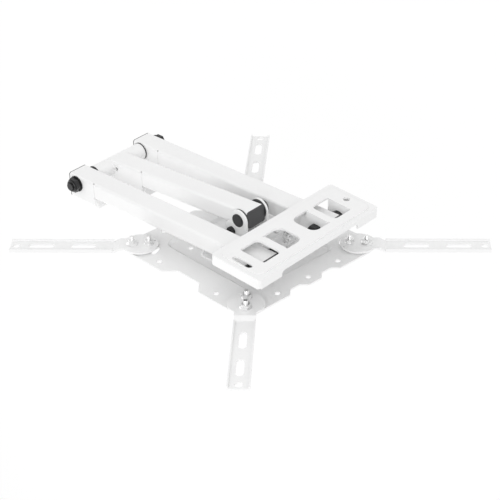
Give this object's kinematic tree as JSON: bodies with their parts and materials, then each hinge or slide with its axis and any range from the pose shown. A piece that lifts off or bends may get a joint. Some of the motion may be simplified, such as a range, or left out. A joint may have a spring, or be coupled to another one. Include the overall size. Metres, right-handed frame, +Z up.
{
  "type": "tv wall mount",
  "caption": "Folding full-motion wall mount: pressed wall plate, twin swing arms, forward arm, tilting head and a screen plate with swinging extension arms.",
  "frame": {"origin": "middle of the wall plate's face that bears on the wall", "axes": "+Y into the wall, +Z up in use, +X along the folded arms from the elbow to the wall plate"},
  "size_m": [0.4718, 0.0779, 0.457],
  "materials": {
    "white_coat": "satin",
    "charcoal_plastic": "matte",
    "black_fittings": "satin",
    "black_plastic": "satin",
    "zinc": "satin",
    "steel": "satin"
  },
  "bodies": {
    "wall": {"wall_plate": "white_coat", "wall_bolt": "black_fittings", "wall_nut": "black_fittings", "wall_barrel": "steel", "wall_washers": "black_fittings"},
    "outer_arms": {"upper_arm_tube": "white_coat", "lower_arm_tube": "white_coat", "wall_end_brackets": "white_coat", "elbow_end_brackets": "white_coat", "arm_end_caps": "charcoal_plastic", "elbow_bolt": "black_fittings", "elbow_nut": "black_fittings", "elbow_outer_washers": "black_fittings"},
    "forward_arm": {"elbow_barrel": "white_coat", "elbow_bushes": "black_plastic", "forward_bracket": "white_coat", "forward_tube": "white_coat", "forward_cap": "charcoal_plastic", "head_bushes": "black_plastic"},
    "head": {"swivel_yoke": "white_coat", "swivel_bolt": "black_fittings", "swivel_nut_cover": "black_plastic", "swivel_head_cover": "black_plastic", "yoke_screw": "black_fittings", "yoke_spacer": "steel", "tilt_cradle": "white_coat", "lock_bolts": "zinc", "lock_nuts": "zinc"},
    "tilter": {"tilt_bracket": "white_coat", "tilt_pin": "steel", "tilt_pin_clips": "steel", "level_pin": "zinc", "level_bolts": "zinc", "level_nuts": "zinc"},
    "screen": {"screen_plate": "white_coat", "pivot_bolts": "zinc", "pivot_nuts": "zinc", "seat_washers": "zinc"},
    "left_extension": {"left_arm": "white_coat", "left_clamp_bolt": "zinc", "left_clamp_nut": "zinc"},
    "right_extension": {"right_arm": "white_coat", "right_clamp_bolt": "zinc", "right_clamp_nut": "zinc"},
    "near_extension": {"near_arm": "white_coat", "near_clamp_bolt": "zinc", "near_clamp_nut": "zinc"},
    "far_extension": {"far_arm": "white_coat", "far_clamp_bolt": "zinc", "far_clamp_nut": "zinc"}
  },
  "joints": [
    {"name": "wall_swing", "type": "hinge", "parent": "wall", "child": "outer_arms", "pos_m": [0, -0.02, 0], "axis": [0, 0, 1], "range_deg": [0, 85]},
    {"name": "elbow", "type": "hinge", "parent": "outer_arms", "child": "forward_arm", "pos_m": [-0.3054, -0.03921, 0], "axis": [0, 0, 1], "range_deg": [-170, 0]},
    {"name": "head_swivel", "type": "hinge", "parent": "forward_arm", "child": "head", "pos_m": [-0.07489, -0.01295, 0], "axis": [0, 0, 1], "range_deg": [0, 85]},
    {"name": "tilt", "type": "hinge", "parent": "head", "child": "tilter", "pos_m": [-0.07485, -0.04862, 0], "axis": [0.998, 0.0628, 0], "range_deg": [-5.7, 8.3]},
    {"name": "level", "type": "hinge", "parent": "tilter", "child": "screen", "pos_m": [-0.07404, -0.06149, 0.00029], "axis": [-0.0628, 0.9978, -0.0227], "range_deg": [-1.5, 8.5]},
    {"name": "left_extension_swing", "type": "hinge", "parent": "screen", "child": "left_extension", "pos_m": [-0.18019, -0.06103, 0.09386], "axis": [0.0628, -0.9978, 0.0227], "range_deg": [-45.9, 44.1]},
    {"name": "right_extension_swing", "type": "hinge", "parent": "screen", "child": "right_extension", "pos_m": [0.03149, -0.05197, -0.09351], "axis": [0.0628, -0.9978, 0.0227], "range_deg": [-45.7, 44.3]},
    {"name": "near_extension_swing", "type": "hinge", "parent": "screen", "child": "near_extension", "pos_m": [0.01902, -0.04822, 0.10607], "axis": [0.0628, -0.9978, 0.0227], "range_deg": [-46.4, 43.6]},
    {"name": "far_extension_swing", "type": "hinge", "parent": "screen", "child": "far_extension", "pos_m": [-0.16773, -0.06478, -0.10571], "axis": [0.0628, -0.9978, 0.0227], "range_deg": [-47.8, 42.2]}
  ],
  "couplings": [
    {"joint": "elbow", "follows": "wall_swing", "ratio": -2},
    {"joint": "head_swivel", "follows": "wall_swing", "ratio": 1}
  ]
}
